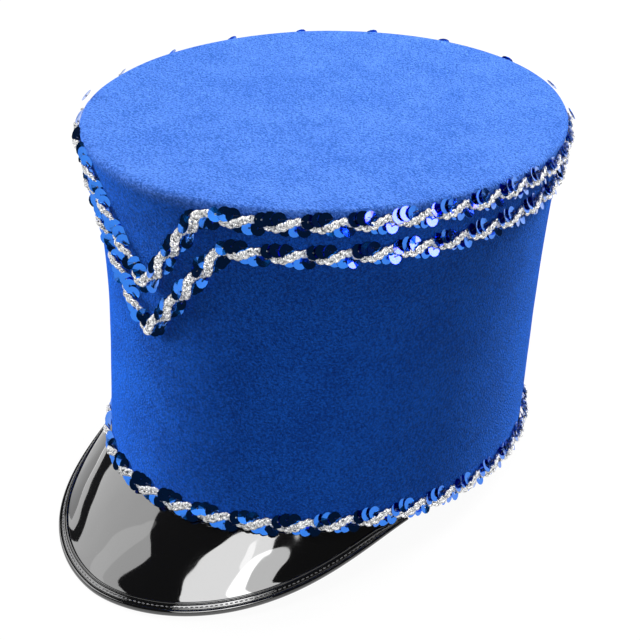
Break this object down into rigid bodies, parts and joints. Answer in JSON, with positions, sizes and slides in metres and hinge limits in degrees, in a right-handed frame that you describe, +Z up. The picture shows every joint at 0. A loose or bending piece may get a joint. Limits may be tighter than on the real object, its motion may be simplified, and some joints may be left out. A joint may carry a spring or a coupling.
{
  "type": "shako hat",
  "caption": "Shako hat: oval felt crown that flares to a flat top, curved patent peak with a bound edge, and rows of sequins under a wavy silver braid, two of them dipping to a vee in front",
  "frame": {"origin": "the middle of the ground area that the hat takes up, on the surface that it rests on", "axes": "+Z is up; -Y is the front, where the peak is; +X is the right of someone looking at the hat from the front with -Y toward them"},
  "size_m": [0.195, 0.2712, 0.1826],
  "materials": {
    "felt": "royal blue wool felt, matt, with short fibres",
    "patent": "black patent, mirror gloss",
    "sequin": "blue metallic foil",
    "silver_braid": "metallic silver thread, braided"
  },
  "bodies": {
    "root": {"crown": "felt", "peak": "patent", "peak_binding": "patent", "upper_sequins": "sequin", "upper_braid": "silver_braid", "lower_sequins": "sequin", "lower_braid": "silver_braid", "base_sequins": "sequin", "base_braid": "silver_braid"}
  },
  "joints": []
}
